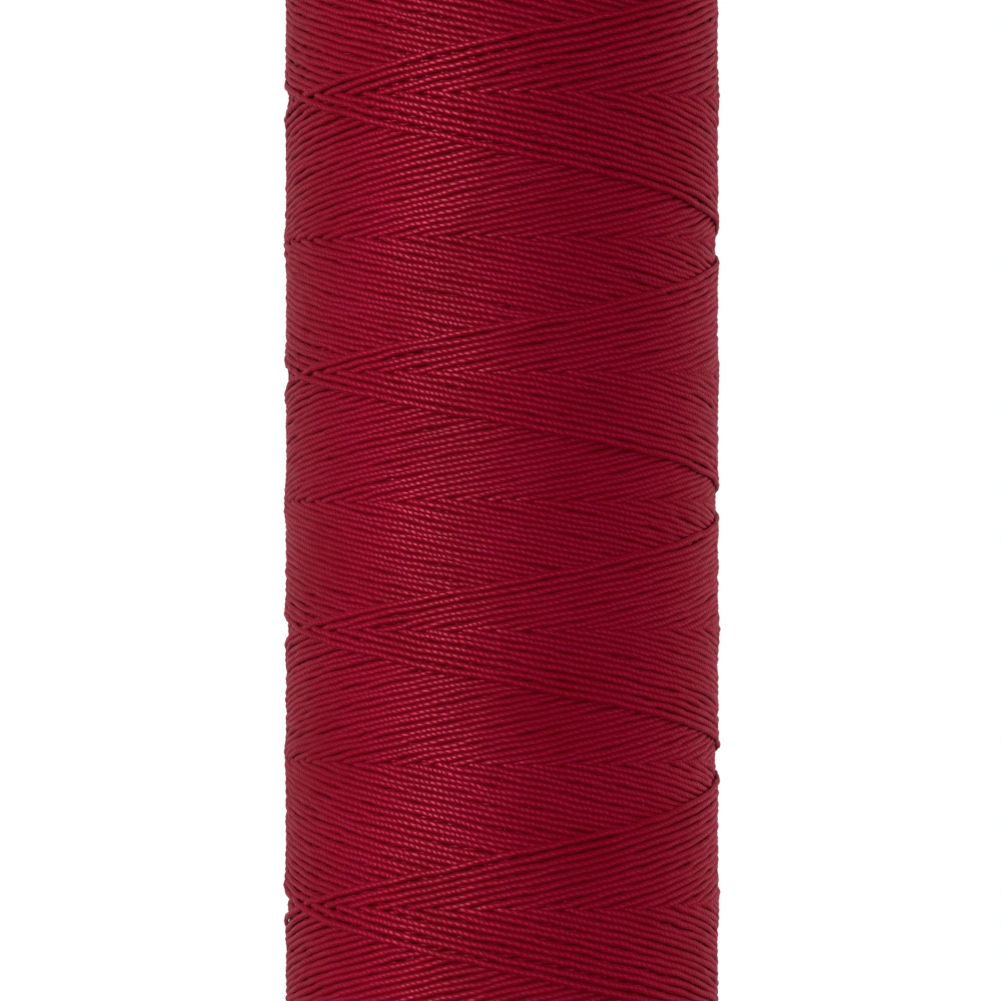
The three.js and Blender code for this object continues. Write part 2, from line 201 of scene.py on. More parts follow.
class Field:
    """A number in a node tree that can be written into a formula."""

    def __init__(self, tree, socket):
        self.tree = tree
        self.socket = socket

    def joined(self, operation, *others):
        node = self.tree.nodes.new("ShaderNodeMath")
        node.operation = operation
        for slot, value in zip(node.inputs, (self, *others)):
            feed(self.tree, slot, value)
        return Field(self.tree, node.outputs[0])

    def __add__(self, other):
        return self.joined("ADD", other)

    def __sub__(self, other):
        return self.joined("SUBTRACT", other)

    def __mul__(self, other):
        return self.joined("MULTIPLY", other)

    def __truediv__(self, other):
        return self.joined("DIVIDE", other)

    def __pow__(self, other):
        return self.joined("POWER", other)

    def __neg__(self):
        return self * -1.0

    def __abs__(self):
        return self.joined("ABSOLUTE")

    def over(self, other):
        """1 where the number is more than the other."""
        return self.joined("GREATER_THAN", other)

    def eased(self, low, high):
        """0 below low and 1 above high, eased between them."""
        node = self.tree.nodes.new("ShaderNodeMapRange")
        node.interpolation_type = "SMOOTHSTEP"
        for name, value in (("Value", self), ("From Min", low), ("From Max", high)):
            feed(self.tree, node.inputs[name], value)
        return Field(self.tree, node.outputs["Result"])


def feed(tree, slot, value):
    """Sets a socket to a constant, or links it to a field or a socket."""
    if isinstance(value, Field):
        tree.links.new(value.socket, slot)
    elif isinstance(value, bpy.types.NodeSocket):
        tree.links.new(value, slot)
    else:
        slot.default_value = value


def add_node(tree, kind, settings=None, **inputs):
    """A node with its settings made and its named inputs fed. An underscore stands for a space."""
    node = tree.nodes.new(kind)
    for name, value in (settings or {}).items():
        setattr(node, name, value)
    for name, value in inputs.items():
        feed(tree, node.inputs[name.replace("_", " ")], value)
    return node


def vector(tree, x, y, z):
    return add_node(tree, "ShaderNodeCombineXYZ", X=x, Y=y, Z=z).outputs[0]


# ---------------------------------------------------------------- geometry node trees

SOCKETS = {float: "NodeSocketFloat", int: "NodeSocketInt", "material": "NodeSocketMaterial"}


def new_tree(name, inputs):
    """An empty geometry tree with the named inputs, its input fields and its output node."""
    tree = bpy.data.node_groups.new(name, "GeometryNodeTree")
    for title, kind in inputs.items():
        tree.interface.new_socket(title, in_out="INPUT", socket_type=SOCKETS[kind])
    tree.interface.new_socket("Geometry", in_out="OUTPUT", socket_type="NodeSocketGeometry")
    given = tree.nodes.new("NodeGroupInput")
    fields = {title: Field(tree, given.outputs[title]) for title in inputs}
    return tree, fields, tree.nodes.new("NodeGroupOutput")


def finish_tree(tree, geometry, material, output):
    """Ends a tree in real, smooth faces with their material."""
    real = add_node(tree, "GeometryNodeRealizeInstances", Geometry=geometry)
    smooth = add_node(tree, "GeometryNodeSetShadeSmooth", Geometry=real.outputs[0])
    done = add_node(tree, "GeometryNodeSetMaterial", Geometry=smooth.outputs[0], Material=material)
    tree.links.new(done.outputs[0], output.inputs[0])


def build(name, tree, body, slot, replaces, **values):
    """The mesh that a tree makes from the values, as a plain object that rides on a body."""
    carrier = bpy.data.objects.new(name + "_tree", bpy.data.meshes.new(name + "_empty"))
    bpy.context.scene.collection.objects.link(carrier)
    modifier = carrier.modifiers.new("tree", "NODES")
    modifier.node_group = tree
    for item in tree.interface.items_tree:
        if item.in_out == "INPUT":
            modifier[item.identifier] = values[item.name.replace(" ", "_").lower()]
    depsgraph = bpy.context.evaluated_depsgraph_get()
    mesh = bpy.data.meshes.new_from_object(
        carrier.evaluated_get(depsgraph), preserve_all_data_layers=True, depsgraph=depsgraph
    )
    carrier.modifiers.remove(modifier)
    bpy.data.objects.remove(carrier)
    place(name, mesh, body, replaces)


def place(name, mesh, body, replaces):
    """Adds a finished mesh, which rides on a body and stands for one or more CAD nodes."""
    mesh.name = name
    piece = bpy.data.objects.new(name, mesh)
    bpy.context.scene.collection.objects.link(piece)
    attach(piece, body)
    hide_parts(*replaces)


def store(tree, geometry, name, kind, value):
    node = add_node(tree, "GeometryNodeStoreNamedAttribute", {"data_type": kind, "domain": "POINT"})
    feed(tree, node.inputs["Geometry"], geometry)
    feed(tree, node.inputs["Name"], name)
    feed(tree, node.inputs["Value"], value)
    return node.outputs["Geometry"]


def noise_4d(tree, where, moment, scale):
    """Smooth noise from -1 to 1."""
    node = add_node(
        tree, "ShaderNodeTexNoise", {"noise_dimensions": "4D"},
        Vector=where, W=moment, Scale=scale, Detail=1.0,
    )
    return (Field(tree, node.outputs[0]) - 0.5) * NOISE_GAIN


def winding_tree():
    """Part of a cover: whole double strokes, from one turn-round at the foot to another.

    Strokes are counted from the last cover's first, so those of the cover under it are negative.
    """
    tree, given, output = new_tree("winding", {
        "First Stroke": float, "Stroke Count": float, "Strokes": float, "Stroke Turns": float,
        "Rings": int, "Sides": int, "Thread Radius": float, "Pack Radius": float,
        "Middle": float, "Half Height": float, "Half Turn Rise": float, "Rise Growth": float,
        "Steady From": float, "Node Azimuth": float, "Settle": float, "Climb": float,
        "Swell": float, "Knot": float, "Knot Reach": float, "Spread": float, "Lift": float,
        "Fade": float, "Wander": float, "Flatness": float, "Seed": float, "Material": "material",
    })
    strokes = given["Strokes"]
    stroke_turns = given["Stroke Turns"]  # in a single stroke
    line = add_node(tree, "GeometryNodeCurvePrimitiveLine")
    curve = add_node(
        tree, "GeometryNodeResampleCurve", {"mode": "COUNT"},
        Curve=line.outputs[0], Count=given["Rings"],
    )
    along = Field(tree, tree.nodes.new("GeometryNodeSplineParameter").outputs["Factor"])

    # where in the winding: double strokes done, half turns from mid height, rising or falling
    done = given["First Stroke"] + given["Stroke Count"] * along
    age = strokes - done
    phase = done.joined("FRACT") * stroke_turns * 2.0
    from_head = abs(phase - stroke_turns)
    half_turns = stroke_turns - from_head * 2.0
    falling = phase.over(stroke_turns)
    direction = falling * -2.0 + 1.0
    side = half_turns.joined("SIGN")
    away = abs(half_turns)

    # height: a rise that grows a little to each side, then stays steady and rounds off at the end
    steady = given["Steady From"]
    near = away.joined("MINIMUM", steady)
    steady_rise = given["Half Turn Rise"] + given["Rise Growth"] * 3.0 * steady * steady
    steady_height = given["Half Turn Rise"] * steady + given["Rise Growth"] * steady ** 3.0
    reach = given["Half Height"] - given["Thread Radius"]
    rounding = (stroke_turns - steady - (reach - steady_height) / steady_rise) * 2.0
    past_steady = (away - steady).joined("MAXIMUM", 0.0)
    into_end = (away - stroke_turns + rounding).joined("MAXIMUM", 0.0)
    height = given["Half Turn Rise"] * near + given["Rise Growth"] * near ** 3.0
    height = height + steady_rise * past_steady
    height = (height - steady_rise * into_end * into_end / (rounding * 2.0)) * side

    # radius: a strand sinks slowly as younger ones cross over it, and climbs over the rest once in
    # each half turn
    at_end = away.over(stroke_turns - 0.5)
    nearest = half_turns.joined("ROUND")
    centre = nearest + (side * stroke_turns - nearest) * at_end
    past_climb = (half_turns - centre) * direction
    climb = given["Climb"] / strokes
    climbed = past_climb.eased(climb * -0.5, climb * 0.5)
    layers = climbed - past_climb + 1.0 - age * 2.0 / strokes
    radius = given["Pack Radius"] - given["Thread Radius"] + given["Settle"] * (layers - 1.0)
    radius = radius + given["Swell"] * (half_turns * math.pi).joined("SINE") ** 2.0
    knot = -(((half_turns - nearest) / given["Knot Reach"]) ** 2.0)
    radius = radius + given["Knot"] * knot.joined("EXPONENT")
    fresh = (-(age / given["Fade"])).joined("EXPONENT")
    radius = radius + given["Lift"] * fresh

    # angle: the spool always turns the same way, and the newest strands lie a little wider. The
    # last rising stroke passes mid height three quarters of a double stroke before the end
    turns = done * stroke_turns * 2.0
    newest = (strokes - 0.75) * stroke_turns * 2.0
    strand = strokes.joined("POWER", -1.0) * TAU
    spread = given["Spread"] * strand * (fresh * -1.0 + 1.0)
    angle = (turns - newest) * TAU + given["Node Azimuth"] + spread
    cosine = angle.joined("COSINE")
    sine = angle.joined("SINE")

    # wander: slow and quick wobbles, in height and a little in radius, each from its own noise
    spot = vector(tree, cosine * given["Pack Radius"], sine * given["Pack Radius"], height)
    moment = age * STROKE_CHANGE + given["Seed"]
    slow = noise_4d(tree, spot, moment, SLOW_SCALE)
    quick = noise_4d(tree, spot, moment * 1.7 + 40.0, QUICK_SCALE)
    lift = noise_4d(tree, spot, moment * 1.3 + 80.0, OUTWARD_SCALE)
    calm = ((reach - abs(height)) / given["Thread Radius"]).joined("MINIMUM", 1.0)
    height = height + (slow * SLOW_SHARE + quick * QUICK_SHARE) * given["Wander"] * calm
    radius = radius + lift * given["Wander"] * OUTWARD_SHARE
    position = vector(tree, radius * cosine, radius * sine, height + given["Middle"])
    wound = add_node(
        tree, "GeometryNodeSetPosition", Geometry=curve.outputs[0], Position=position
    )
    upright = add_node(tree, "GeometryNodeSetCurveNormal", {"mode": "Z_UP"}, Curve=wound.outputs[0])

    # what the material needs: metres along the strand, a tone per stroke, the way round the strand
    length = tree.nodes.new("GeometryNodeSplineParameter").outputs["Length"]
    path = store(tree, upright.outputs[0], "thread_run", "FLOAT", length)
    tone = noise_4d(tree, spot, moment * 2.1 + 11.0, TONE_SCALE)
    path = store(tree, path, "thread_tone", "FLOAT", tone)
    ring = add_node(
        tree, "GeometryNodeCurvePrimitiveCircle", {"mode": "RADIUS"},
        Resolution=given["Sides"], Radius=given["Thread Radius"],
    )
    across = add_node(tree, "ShaderNodeVectorMath", {"operation": "NORMALIZE"})
    feed(tree, across.inputs[0], tree.nodes.new("GeometryNodeInputPosition").outputs[0])
    ring = store(tree, ring.outputs[0], "thread_side", "FLOAT_VECTOR", across.outputs[0])
    ring = add_node(
        tree, "GeometryNodeTransform", Geometry=ring,
        Scale=vector(tree, given["Flatness"].joined("POWER", -1.0), given["Flatness"], 1.0),
    )
    tube = add_node(
        tree, "GeometryNodeCurveToMesh", Curve=path, Profile_Curve=ring.outputs[0], Fill_Caps=True
    )
    finish_tree(tree, tube.outputs[0], given["Material"], output)
    return tree


def wound_thread(open_material, buried_material):
    """The last cover of thread and the one under it, in pieces of a few double strokes each."""
    tree = winding_tree()
    for name, material, first, count, steps, sides in (
        ("wound_strokes", open_material, 0, STROKES_PER_PIECE, RING_STEPS, RING_SIDES),
        ("buried_strokes", buried_material, -STROKES, BURIED_STROKES_PER_PIECE,
         BURIED_RING_STEPS, BURIED_RING_SIDES),
    ):
        for index in range(STROKES // count):
            build(
                f"{name}_{index + 1}", tree, "spool", "thread", ("thread_outer_strokes",),
                first_stroke=float(first + index * count), stroke_count=float(count),
                strokes=float(STROKES), stroke_turns=STROKE_TURNS,
                rings=round(count * 2 * STROKE_TURNS * steps) + 1, sides=sides,
                thread_radius=THREAD_DIAMETER / 2, pack_radius=PACK_RADIUS, middle=PACK_MIDDLE,
                half_height=PACK_HALF, half_turn_rise=HALF_TURN_RISE, rise_growth=RISE_GROWTH,
                steady_from=STEADY_FROM, node_azimuth=NODE_AZIMUTH, settle=SETTLE, climb=CLIMB,
                swell=SWELL, knot=KNOT, knot_reach=KNOT_REACH, spread=NEWEST_SPREAD,
                lift=NEWEST_LIFT, fade=NEWEST_FADE, wander=WANDER, flatness=FLATNESS,
                seed=float(SEED), material=material,
            )


def fibres_tree():
    """Short fine fibres that loop out of the wound strands."""
    tree, given, output = new_tree("fibres", {
        "Count": int, "Pack Radius": float, "Middle": float, "Half Height": float, "Span": float,
        "Stand": float, "Fibre Radius": float, "Seed": int, "Material": "material",
    })

    def chance(low, high, shift):
        """A random number for each fibre."""
        node = add_node(tree, "FunctionNodeRandomValue", {"data_type": "FLOAT"})
        node.inputs[2].default_value = low
        node.inputs[3].default_value = high
        feed(tree, node.inputs["Seed"], given["Seed"] + float(shift))
        return Field(tree, node.outputs[1])

    angle = chance(0.0, TAU, 1)
    height = given["Half Height"] * chance(-FIBRE_REACH, FIBRE_REACH, 2)
    radius = given["Pack Radius"] - chance(*FIBRE_DEPTHS, 3) * MM
    root = vector(tree, radius * angle.joined("COSINE"), radius * angle.joined("SINE"),
                  height + given["Middle"])
    points = add_node(tree, "GeometryNodePoints", Count=given["Count"], Position=root)
    span = given["Span"]
    loop = add_node(
        tree, "GeometryNodeCurveQuadraticBezier", Resolution=7,
        Start=vector(tree, span * -0.5, 0.0, 0.0),
        Middle=vector(tree, span * 0.1, span * 0.16, given["Stand"] * 2.0),
        End=vector(tree, span * 0.5, span * 0.05, 0.0),
    )
    # a fibre's own x runs round the pack, its z points out, and it may turn either way
    turn = add_node(
        tree, "FunctionNodeEulerToRotation",
        Euler=vector(tree, -math.pi / 2, 0.0, angle + math.pi / 2),
    )
    about = add_node(
        tree, "FunctionNodeAxisAngleToRotation",
        Axis=(0.0, 0.0, 1.0), Angle=chance(-FIBRE_TURN, FIBRE_TURN, 4),
    )
    lay = add_node(tree, "FunctionNodeRotateRotation", {"rotation_space": "LOCAL"})
    feed(tree, lay.inputs[0], turn.outputs[0])
    feed(tree, lay.inputs[1], about.outputs[0])
    scale = vector(
        tree, chance(*FIBRE_LENGTHS, 5), chance(*FIBRE_BENDS, 6), chance(*FIBRE_HEIGHTS, 7)
    )
    copies = add_node(
        tree, "GeometryNodeInstanceOnPoints", Points=points.outputs[0], Instance=loop.outputs[0],
        Rotation=lay.outputs[0], Scale=scale,
    )
    real = add_node(tree, "GeometryNodeRealizeInstances", Geometry=copies.outputs[0])
    ring = add_node(
        tree, "GeometryNodeCurvePrimitiveCircle", {"mode": "RADIUS"},
        Resolution=3, Radius=given["Fibre Radius"],
    )
    tube = add_node(
        tree, "GeometryNodeCurveToMesh", Curve=real.outputs[0], Profile_Curve=ring.outputs[0],
        Fill_Caps=True,
    )
    finish_tree(tree, tube.outputs[0], given["Material"], output)
    return tree


def stray_fibres(material):
    build(
        "stray_fibres", fibres_tree(), "spool", "thread", ("thread_outer_strokes",), count=FIBRES,
        pack_radius=PACK_RADIUS, middle=PACK_MIDDLE, half_height=PACK_HALF, span=FIBRE_SPAN,
        stand=FIBRE_STAND, fibre_radius=FIBRE_RADIUS, seed=SEED, material=material,
    )


# ---------------------------------------------------------------- turned and moulded pieces


def lathe(outline):
    """A closed mesh from a closed outline of (radius, height) corners, anticlockwise."""
    shell = bmesh.new()
    rings = []
    for step in range(LATHE_STEPS):
        angle = TAU * step / LATHE_STEPS
        rings.append([
            shell.verts.new((radius * math.cos(angle), radius * math.sin(angle), height))
            for radius, height in outline
        ])
    count = len(outline)
    for step, ring in enumerate(rings):
        after = rings[(step + 1) % LATHE_STEPS]
        for corner in range(count):
            following = (corner + 1) % count
            face = shell.faces.new((ring[corner], after[corner], after[following], ring[following]))
            face.smooth = True
    bmesh.ops.recalc_face_normals(shell, faces=shell.faces)
    mesh = bpy.data.meshes.new("lathe")
    shell.to_mesh(mesh)
    shell.free()
    return mesh


def thread_body(material):
    """The layers under the two covers."""
    low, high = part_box("thread_inner_layers")
    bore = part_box("core_tube")[1].x + BODY_CLEARANCE
    outer = high.x
    mesh = lathe([
        (bore, low.z + BODY_HOLLOW), (outer - BODY_BEVEL, low.z), (outer, low.z),
        (outer, high.z), (outer - BODY_BEVEL, high.z), (bore, high.z - BODY_HOLLOW),
    ])
    mesh.materials.append(material)
    place("thread_body", mesh, "spool", ("thread_inner_layers",))


def rounded_copy(name, node, body, material):
    """A smooth copy of a moulded CAD node with its sharp edges rounded, which stands for it."""
    shell = bmesh.new()
    shell.from_mesh(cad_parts[node].data)
    bmesh.ops.remove_doubles(shell, verts=shell.verts, dist=WELD)
    bmesh.ops.dissolve_limit(shell, angle_limit=FLAT, verts=shell.verts, edges=shell.edges)
    plain = bpy.data.meshes.new(name + "_plain")
    shell.to_mesh(plain)
    shell.free()
    plain.materials.clear()
    plain.materials.append(material)
    plain.shade_smooth()
    carrier = bpy.data.objects.new(name + "_plain", plain)
    bpy.context.scene.collection.objects.link(carrier)
    bevel = carrier.modifiers.new("edges", "BEVEL")
    bevel.limit_method = "ANGLE"
    bevel.angle_limit = SHARP
    bevel.width = EDGE_ROUNDING
    bevel.segments = EDGE_STEPS
    bevel.harden_normals = True
    depsgraph = bpy.context.evaluated_depsgraph_get()
    mesh = bpy.data.meshes.new_from_object(
        carrier.evaluated_get(depsgraph), preserve_all_data_layers=True, depsgraph=depsgraph
    )
    bpy.data.objects.remove(carrier)
    mark_edges(mesh)
    place(name, mesh, body, (node,))


def mark_edges(mesh):
    """Stores, for the wear, how far the surface turns at each corner: 0 on a wall, 1 on an edge."""
    shell = bmesh.new()
    shell.from_mesh(mesh)
    turns = [0.0] * len(shell.verts)
    for edge in shell.edges:
        turn = edge.calc_face_angle(0.0) / FULL_WEAR_TURN
        for vertex in edge.verts:
            turns[vertex.index] = max(turns[vertex.index], min(turn * turn, 1.0))
    shell.free()
    mesh.attributes.new("moulded_edge", "FLOAT", "POINT").data.foreach_set("value", turns)


# ---------------------------------------------------------------- materials


def new_material(name):
    material = bpy.data.materials.new(name)
    material.use_nodes = True
    tree = material.node_tree
    tree.nodes.clear()
    shader = tree.nodes.new("ShaderNodeBsdfPrincipled")
    output = tree.nodes.new("ShaderNodeOutputMaterial")
    tree.links.new(shader.outputs[0], output.inputs["Surface"])
    return material, tree, shader


def set_shader(tree, shader, **inputs):
    """Sets or feeds a shader's named inputs. An underscore stands for a space."""
    for name, value in inputs.items():
        feed(tree, shader.inputs[name.replace("_", " ")], value)


def attribute(tree, name, output="Fac"):
    return add_node(tree, "ShaderNodeAttribute", {"attribute_name": name}).outputs[output]


def mix_colours(tree, share, first, second):
    node = add_node(tree, "ShaderNodeMix", {"data_type": "RGBA"})
    feed(tree, node.inputs["Factor"], share)
    feed(tree, node.inputs[6], first)
    feed(tree, node.inputs[7], second)
    return node.outputs[2]


def pack_outward(tree, spot):
    """The direction straight out of the pack, in world space."""
    flat = add_node(tree, "ShaderNodeVectorMath", {"operation": "MULTIPLY"})
    feed(tree, flat.inputs[0], spot)
    flat.inputs[1].default_value = (1, 1, 0)
    outward = add_node(tree, "ShaderNodeVectorMath", {"operation": "NORMALIZE"})
    feed(tree, outward.inputs[0], flat.outputs[0])
    turned = add_node(
        tree, "ShaderNodeVectorTransform",
        {"vector_type": "VECTOR", "convert_from": "OBJECT", "convert_to": "WORLD"},
        Vector=outward.outputs[0],
    )
    return turned.outputs[0]


def softened_normal(tree, outward, share):
    """The surface's normal, turned some way to the pack's own: fuzz evens out a strand's flanks."""
    mixed = add_node(tree, "ShaderNodeMix", {"data_type": "VECTOR"})
    mixed.inputs["Factor"].default_value = share
    feed(tree, mixed.inputs[4], tree.nodes.new("ShaderNodeNewGeometry").outputs["Normal"])
    feed(tree, mixed.inputs[5], outward)
    whole = add_node(tree, "ShaderNodeVectorMath", {"operation": "NORMALIZE"})
    feed(tree, whole.inputs[0], mixed.outputs[1])
    return whole.outputs[0]


def crimson_thread():
    """Three twisted plies of fine fibres: glints on each ply's crest, partly painted in the base
    colour, and painted shade: a deeper red in the grooves between strands, on their flanks.
    """
    material, tree, shader = new_material("crimson_thread")
    run = Field(tree, attribute(tree, "thread_run"))
    side = add_node(tree, "ShaderNodeSeparateXYZ", Vector=attribute(tree, "thread_side", "Vector"))
    round_strand = Field(tree, side.outputs["Y"]).joined("ARCTAN2", Field(tree, side.outputs["X"]))
    spot = add_node(tree, "ShaderNodeTexCoord").outputs["Object"]
    slack = add_node(
        tree, "ShaderNodeTexNoise", {"noise_dimensions": "1D"}, W=run, Scale=SLACK_SCALE, Detail=1.0
    )
    twist = run * (TAU / PLY_LAY) + Field(tree, slack.outputs[0]) * SLACK_TWIST
    ply = round_strand - twist
    crest = abs((ply * (PLIES / 2)).joined("COSINE"))
    fibre_place = vector(tree, ply.joined("COSINE"), ply.joined("SINE"), run * FLECK_RUN)
    fibres = add_node(tree, "ShaderNodeTexNoise", Vector=fibre_place, Scale=FLECK_SCALE, Detail=2.0)
    fleck = Field(tree, fibres.outputs[0])
    top = abs(Field(tree, side.outputs["Y"])).eased(0.0, 0.65) * -1.0 + 1.0
    fuzz = add_node(tree, "ShaderNodeTexNoise", Vector=spot, Scale=FUZZ_SCALE, Detail=1.0)
    fuzzy = Field(tree, fuzz.outputs[0])
    relief = crest * 0.55 + fleck * 0.35 + fuzzy * 0.6
    bump = add_node(
        tree, "ShaderNodeBump", Height=relief, Strength=1.0, Distance=PLY_RELIEF,
        Normal=softened_normal(tree, pack_outward(tree, spot), SOFTENING),
    )
    blotch = add_node(tree, "ShaderNodeTexNoise", Vector=spot, Scale=BLOTCH_SCALE, Detail=3.0)
    tone = Field(tree, attribute(tree, "thread_tone"))
    patchy = Field(tree, blotch.outputs[0])

    # glints on the plies' crests, where fibres and patches let them: partly metal, coat and lower
    # roughness, partly a painted highlight in a pinker, lighter base colour; and a deeper red off
    # the top
    glint = crest.eased(0.3, 1.0) * top.eased(0.0, 0.85) * 0.68
    glint = glint * (fleck.eased(0.3, 0.65) * 0.7 + 0.3) * (patchy.eased(0.2, 0.6) * 0.6 + 0.4)
    # painted shade: each strand's flanks, where strands meet, go darker than its top; random tone,
    # patches and fuzz vary it as well
    shade_and_tone = top * 0.6 + tone * 0.2 + patchy * 0.5 + fuzzy * 0.4 - 0.34
    colour = mix_colours(tree, shade_and_tone, SHADED_FLANK_RED, CREST_RED)
    set_shader(
        tree, shader, Base_Color=mix_colours(tree, glint, colour, GLINT_RED),
        Roughness=glint * -0.14 + 0.6, Metallic=glint * 0.4, Normal=bump.outputs[0],
        Coat_Weight=glint * 0.22, Coat_Roughness=0.35, Coat_IOR=1.5,
        Specular_IOR_Level=0.08, Specular_Tint=(1.0, 0.16, 0.24, 1),
        Sheen_Weight=0.07, Sheen_Roughness=0.3, Sheen_Tint=(1.0, 0.18, 0.55, 1),
        Subsurface_Weight=0.9, Subsurface_Radius=(1.0, 0.12, 0.2), Subsurface_Scale=0.2 * MM,
    )
    return material


def packed_thread():
    """The thread that shows between the last strands: an even crimson, painted much lighter than
    the open strands' so that their shaded gaps show red.
    """
    material, tree, shader = new_material("packed_thread")
    spot = add_node(tree, "ShaderNodeTexCoord").outputs["Object"]
    mottle = add_node(tree, "ShaderNodeTexNoise", Vector=spot, Scale=MOTTLE_SCALE, Detail=2.0)
    bump = add_node(tree, "ShaderNodeBump", Height=mottle.outputs[0], Distance=PLY_RELIEF)
    set_shader(
        tree, shader, Base_Color=mix_colours(tree, mottle.outputs[0], LIGHTENED_PACKED_DEEP, LIGHTENED_PACKED_BRIGHT),
        Roughness=0.8, Specular_IOR_Level=0.0, Normal=bump.outputs[0],
    )
    return material


def surface_group():
    """What the moulded plastics share: a fine grain, slow cloudiness and rubbed edges."""
    tree = bpy.data.node_groups.new("moulded_surface", "ShaderNodeTree")
    for title, kind in (("Spot", "NodeSocketVector"), ("Edge", "NodeSocketFloat"),
                        ("Grain Scale", "NodeSocketFloat"), ("Cloud Scale", "NodeSocketFloat"),
                        ("Wear", "NodeSocketFloat")):
        tree.interface.new_socket(title, in_out="INPUT", socket_type=kind)
    for title in ("Height", "Cloud", "Rubbed"):
        tree.interface.new_socket(title, in_out="OUTPUT", socket_type="NodeSocketFloat")
    given = tree.nodes.new("NodeGroupInput")
    output = tree.nodes.new("NodeGroupOutput")
    grain = add_node(tree, "ShaderNodeTexNoise", Vector=given.outputs["Spot"],
                     Scale=given.outputs["Grain Scale"], Detail=3.0)
    cloud = add_node(tree, "ShaderNodeTexNoise", Vector=given.outputs["Spot"],
                     Scale=given.outputs["Cloud Scale"], Detail=4.0, Distortion=0.6)
    patchy = Field(tree, cloud.outputs[0]).eased(0.35, 0.6)
    speckled = Field(tree, grain.outputs[0]).eased(0.35, 0.65)
    rubbed = Field(tree, given.outputs["Edge"]) * Field(tree, given.outputs["Wear"])
    rubbed = rubbed * patchy * speckled
    for title, value in (("Height", Field(tree, grain.outputs[0])),
                         ("Cloud", Field(tree, cloud.outputs[0])), ("Rubbed", rubbed)):
        feed(tree, output.inputs[title], value)
    return tree


def moulded_plastic(name, group, colour, shade, worn, roughness, grain_scale, wear):
    """Off-white injection-moulded plastic with a fine eroded finish and slightly rubbed edges."""
    material, tree, shader = new_material(name)
    node = add_node(tree, "ShaderNodeGroup", {"node_tree": group})
    feed(tree, node.inputs["Spot"], add_node(tree, "ShaderNodeTexCoord").outputs["Object"])
    feed(tree, node.inputs["Edge"], attribute(tree, "moulded_edge"))
    scales = {"Grain Scale": grain_scale, "Cloud Scale": CLOUD_SCALE, "Wear": wear}
    for title, value in scales.items():
        node.inputs[title].default_value = value
    height = Field(tree, node.outputs["Height"])
    rubbed = Field(tree, node.outputs["Rubbed"])
    clean = mix_colours(tree, Field(tree, node.outputs["Cloud"]).eased(0.3, 0.7), shade, colour)
    bump = add_node(tree, "ShaderNodeBump", Height=height, Distance=PLASTIC_RELIEF)
    set_shader(
        tree, shader, Base_Color=mix_colours(tree, rubbed, clean, worn),
        Roughness=height * 0.22 + rubbed * 0.2 + roughness, Normal=bump.outputs[0],
        Subsurface_Weight=0.15, Subsurface_Radius=(1.0, 0.9, 0.75), Subsurface_Scale=0.4 * MM,
    )
    return material


def fibre_material():
    """A single crimson fibre: paler and shinier than the strand that it comes from."""
    material, tree, shader = new_material("loose_fibre")
    spot = add_node(tree, "ShaderNodeTexCoord").outputs["Object"]
    tint = add_node(tree, "ShaderNodeTexNoise", Vector=spot, Scale=FIBRE_TINT_SCALE)
    set_shader(
        tree, shader, Base_Color=mix_colours(tree, tint.outputs[0], FIBRE_DEEP, FIBRE_PALE),
        Roughness=Field(tree, tint.outputs[0]) * 0.3 + 0.25, Specular_Tint=(1.0, 0.5, 0.6, 1),
    )
    return material


def background_ray(tree):
    """1 for a ray that shows the background: seen directly, in a gloss or through glass."""
    path = tree.nodes.new("ShaderNodeLightPath")
    seen = Field(tree, path.outputs["Is Camera Ray"])
    for kind in ("Is Glossy Ray", "Is Transmission Ray"):
        seen = seen.joined("MAXIMUM", Field(tree, path.outputs[kind]))
    return seen


def floor_material():
    """A plain pale floor that takes the shadow and fades into the white background."""
    material, tree, shader = new_material("pale_floor")
    spot = add_node(tree, "ShaderNodeTexCoord").outputs["Object"]
    axes = add_node(tree, "ShaderNodeSeparateXYZ", Vector=spot)
    across, along = Field(tree, axes.outputs["X"]), Field(tree, axes.outputs["Y"])
    away = (across * across + along * along).joined("SQRT")
    speck = add_node(tree, "ShaderNodeTexNoise", Vector=spot, Scale=FLOOR_SPECK_SCALE, Detail=2.0)
    set_shader(
        tree, shader, Base_Color=mix_colours(tree, speck.outputs[0], *FLOOR_GREYS),
        Roughness=0.9, Specular_IOR_Level=0.0,
    )
    white = tree.nodes.new("ShaderNodeEmission")
    share = away.eased(FLOOR_FADE_FROM, FLOOR_FADE_TO) * (1.0 - FLOOR_WHITE) + FLOOR_WHITE
    share = share * background_ray(tree)
    blend = add_node(tree, "ShaderNodeMixShader", Fac=share)
    feed(tree, blend.inputs[1], shader.outputs[0])
    feed(tree, blend.inputs[2], white.outputs[0])
    output = next(node for node in tree.nodes if node.type == "OUTPUT_MATERIAL")
    feed(tree, output.inputs["Surface"], blend.outputs[0])
    return material


# ---------------------------------------------------------------- stage


def area_light(name, azimuth, elevation, distance, width, height, power, diffuse, glossy):
    """A soft light that faces the middle of the pack. Azimuth 0 is the camera's side."""
    azimuth, elevation = math.radians(azimuth), math.radians(elevation)
    out = Vector((
        math.sin(azimuth) * math.cos(elevation),
        -math.cos(azimuth) * math.cos(elevation),
        math.sin(elevation),
    ))
    data = bpy.data.lights.new(name, "AREA")
    data.shape = "RECTANGLE"
    data.size = width
    data.size_y = height
    data.energy = power
    lamp = bpy.data.objects.new(name, data)
    lamp.location = Vector((0, 0, PACK_MIDDLE)) + out * distance
    lamp.rotation_euler = out.to_track_quat("Z", "Y").to_euler()
    lamp.visible_diffuse = diffuse
    lamp.visible_glossy = glossy
    bpy.context.scene.collection.objects.link(lamp)


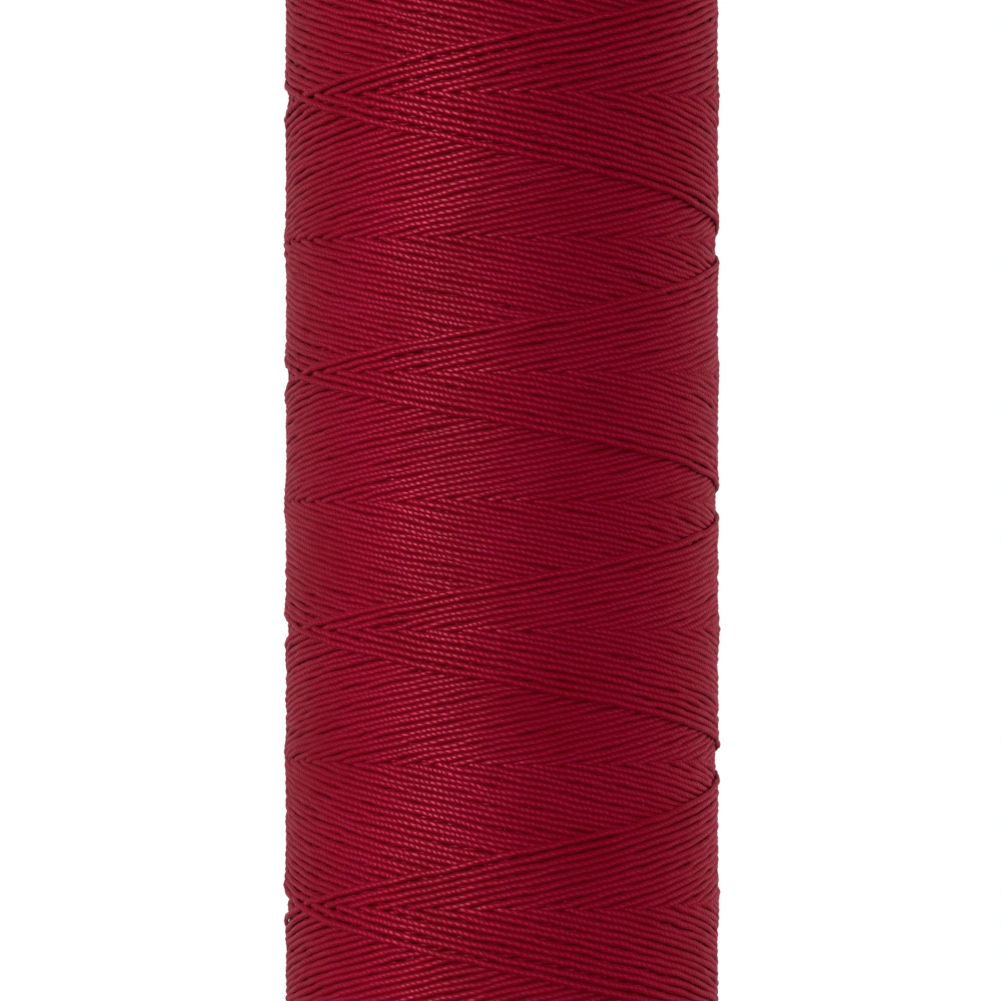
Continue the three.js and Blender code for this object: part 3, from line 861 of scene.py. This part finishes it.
def white_world():
    """A dim studio with a pale backdrop behind the object, which the camera sees as plain white."""
    world = bpy.data.worlds.new("white_studio")
    world.use_nodes = True
    tree = world.node_tree
    tree.nodes.clear()
    direction = add_node(tree, "ShaderNodeTexCoord").outputs["Generated"]
    ray = add_node(tree, "ShaderNodeSeparateXYZ", Vector=direction)
    level = Field(tree, ray.outputs["Y"]).eased(*WORLD_FADE) * (WORLD_BEHIND - WORLD_FRONT)
    level = level + WORLD_FRONT
    level = level + (level * -1.0 + 1.0) * background_ray(tree)
    back = add_node(tree, "ShaderNodeBackground", Strength=level)
    back.inputs["Color"].default_value = (1, 1, 1, 1)
    output = tree.nodes.new("ShaderNodeOutputWorld")
    tree.links.new(back.outputs[0], output.inputs[0])
    bpy.context.scene.world = world


def floor():
    """A round pale floor under the spool, small enough to stay out of the photograph's view.

    The spool stands on its lock cap, so the floor rides on that: the cap never sinks into it.
    """
    disc = bmesh.new()
    bmesh.ops.create_circle(disc, cap_ends=True, segments=96, radius=FLOOR_RADIUS)
    bmesh.ops.translate(disc, verts=disc.verts, vec=(0, 0, -FLOOR_GAP))
    mesh = bpy.data.meshes.new("floor")
    disc.to_mesh(mesh)
    disc.free()
    mesh.materials.append(floor_material())
    stage = bpy.data.objects.new("floor", mesh)
    bpy.context.scene.collection.objects.link(stage)
    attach(stage, "lock_cap")


def camera():
    """The photograph's view: level, far off, with the pack's two edges where they are there."""
    distance = CAMERA_RADII * PACK_RADIUS
    half_width_px = (PACK_RIGHT_PX - PACK_LEFT_PX) / 2
    focal_px = half_width_px * math.sqrt(CAMERA_RADII**2 - 1)
    centre_px = (PACK_RIGHT_PX + PACK_LEFT_PX) / 2
    data = bpy.data.cameras.new("camera")
    data.sensor_width = SENSOR
    data.lens = SENSOR * focal_px / IMAGE_SIDE_PX
    data.clip_start = CLIP_START
    eye = bpy.data.objects.new("camera", data)
    side_step = (IMAGE_SIDE_PX / 2 - centre_px) * distance / focal_px
    eye.location = (side_step, -distance, PACK_MIDDLE)
    eye.rotation_euler = (math.pi / 2, 0, 0)
    bpy.context.scene.collection.objects.link(eye)
    bpy.context.scene.camera = eye


camera()
white_world()
for lamp in LAMPS:
    area_light(*lamp)
bpy.context.scene.view_settings.view_transform = "Standard"
floor()

packed = packed_thread()
wound_thread(crimson_thread(), packed)
thread_body(packed)
stray_fibres(fibre_material())

surface = surface_group()
plastics = {name: moulded_plastic(name, surface, *finish) for name, finish in PLASTICS.items()}
for name, node, body, slot in MOULDED:
    rounded_copy(name, node, body, plastics[slot])
